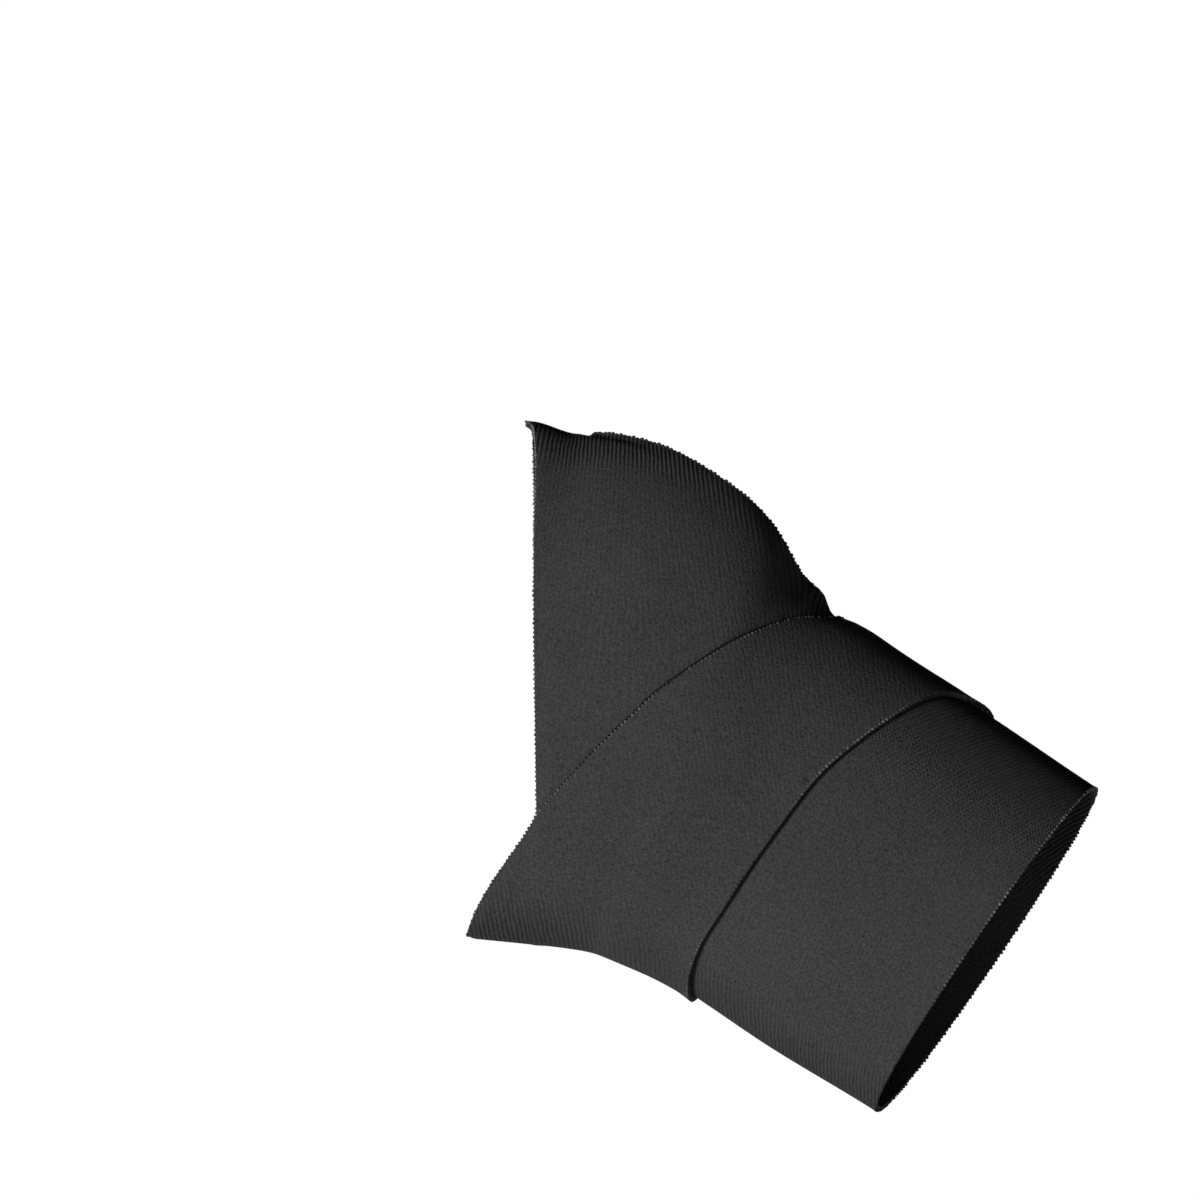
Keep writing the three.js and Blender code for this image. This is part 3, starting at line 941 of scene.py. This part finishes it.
# %% A piece of loops
def edge_loops(name, curves, finish, pitch=RIB * MM, size=LOOP_SIZE):
    """A piece of small beads along one or more curves; each is an array of points and closed or not."""
    points, edges = [], []
    for line, closed in curves:
        first = len(points)
        points += line.tolist()
        edges += [(first + k, first + k + 1) for k in range(len(line) - 1)]
        if closed:
            edges.append((first + len(line) - 1, first))
    mesh = bpy.data.meshes.new(name)
    mesh.from_pydata(points, edges, [])
    piece = bpy.data.objects.new(name, mesh)
    bpy.context.collection.objects.link(piece)
    repeat = piece.modifiers.new("loops", "NODES")
    repeat.node_group = loop_nodes(finish)
    inputs = [item for item in repeat.node_group.interface.items_tree if item.in_out == "INPUT"]
    sockets = {item.name: item.identifier for item in inputs}
    repeat[sockets["Pitch"]] = pitch
    repeat[sockets["Size"]] = size
    repeat[sockets["Uneven"]] = LOOP_UNEVEN
    apply_modifiers(piece)
    piece.data.shade_smooth()
    print(name, "has", len(piece.data.polygons) // BEAD_FACES, "loops")
    return piece


# %% Loops on the sleeve's edges
RIM_INSET = 0.12 * MM
HOLE_LINE_POINTS = 200
HOLE_LOOP_SIZE = 0.3 * MM


def at_rim(along, turn, rise, sections=SECTIONS, inset=RIM_INSET):
    """Points just under the outer corner of a cut edge."""
    return off_hollow(along, turn, rise - inset, sections)


hand_line, arm_line = (
    at_rim(along[:, column], turn[:, column], SLEEVE_OUTER + rise[:, column]) for column in (-1, 0)
)
hole_along, hole_turn = hole_edge(np.linspace(0, 1, HOLE_LINE_POINTS, endpoint=False)).T
hole_line = at_rim(hole_along, hole_turn, SLEEVE_OUTER + sleeve_rise(hole_along, hole_turn))
sleeve_edge = edge_loops("sleeve_cut_edges", [(hand_line, True), (arm_line, True)], loop_finish)
hole_loops = edge_loops("thumb_hole_loops", [(hole_line, True)], sleeve_knit, size=HOLE_LOOP_SIZE)

# %% Loops on the strap's edges
ARM_LOOPS_BACK = 0.2 * MM  # how far in from the arm edge they sit
strap_line = at_rim(strap_along, strap_turn, top, STRAP_SECTIONS)[:, 0]
further_in = strap_along + ARM_LOOPS_BACK / SLEEVE_LENGTH
strap_arm_line = at_rim(further_in, strap_turn, top, STRAP_SECTIONS)[:, -1]
strap_edge = edge_loops("strap_cut_edges", [(strap_line, False), (strap_arm_line, False)], loop_finish)

# %% [markdown]
# ## The dark line beside the strap
# Along the strap's hand edge the photograph shows a thin dark line, where hardly any light gets
# down between the strap and the sleeve. The step alone comes out too light in a render. A deeper
# groove in the sleeve would show from other sides as well, so the shade is painted: a row of tiny
# dark beads lies in the step. They are closer together than they are wide, which makes them one
# uneven thread of painted shade.

# %% The painted shade beside the strap
PAINTED_SHADE_OFFSET = 0.3 * MM
PAINTED_SHADE_PITCH, PAINTED_SHADE_SIZE = 0.22 * MM, 0.15 * MM
PAINTED_SHADE_FIRST, PAINTED_SHADE_LAST, PAINTED_SHADE_POINTS = 5, 118, 240  # from which turn to which
painted_shade_turn = np.linspace(PAINTED_SHADE_FIRST, PAINTED_SHADE_LAST, PAINTED_SHADE_POINTS)
painted_shade_along = strap_edges(painted_shade_turn)[0] + PAINTED_SHADE_OFFSET / SLEEVE_LENGTH
painted_shade_line = at_rim(painted_shade_along, painted_shade_turn, np.full(painted_shade_turn.shape, SLEEVE_OUTER), inset=0.0)
# Painted shade: a thread of dark beads in the step, in the dark hook tape finish.
painted_shade_beads = edge_loops("strap_painted_shade", [(painted_shade_line, False)], hook_tape, PAINTED_SHADE_PITCH, PAINTED_SHADE_SIZE)

# %% [markdown]
# ## What each piece stands for
# Nothing on the wrap turns or slides, so every piece rides on the one body, root. The sleeve, the
# strap and the tab each take the place of a solid, and a slot name is listed beside each. The loops
# and the painted shade beads are too fine for solids and only add to them.

# %% Ride and replace
pieces = {
    "thumb_sleeve": (sleeve, "sleeve_knit"),
    "cross_strap": (strap, "strap_knit"),
    "hook_tab": (tab, "hook_tape"),
}
for node, (piece, slot_name) in pieces.items():
    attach(piece, "root")
    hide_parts(node)
    print(piece.name, "takes the place of", node)

loops = {
    sleeve_edge: "sleeve_knit",
    hole_loops: "sleeve_knit",
    strap_edge: "strap_knit",
    painted_shade_beads: "strap_knit",
}
for piece, slot_name in loops.items():
    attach(piece, "root")
    print(piece.name, "adds to", slot_name)

# %% [markdown]
# ## How large the cloth is flat
# A cloth simulation can start from the worn form, but it has to know how large each cloth is when
# nothing stretches it. The photograph doesn't show that. So the flat sizes of the sleeve and the
# strap are guessed: about the areas printed here, made smaller by a stretch of some 16 percent. The
# tab is laid on and not stretched, so its flat size is its own.

# %% The areas as worn
SQUARE_CM = 0.0001
for piece, _ in pieces.values():
    worn_area = sum(polygon.area for polygon in piece.data.polygons) / 2
    print(piece.name, "has", round(worn_area / SQUARE_CM, 1), "square cm of cloth as worn")
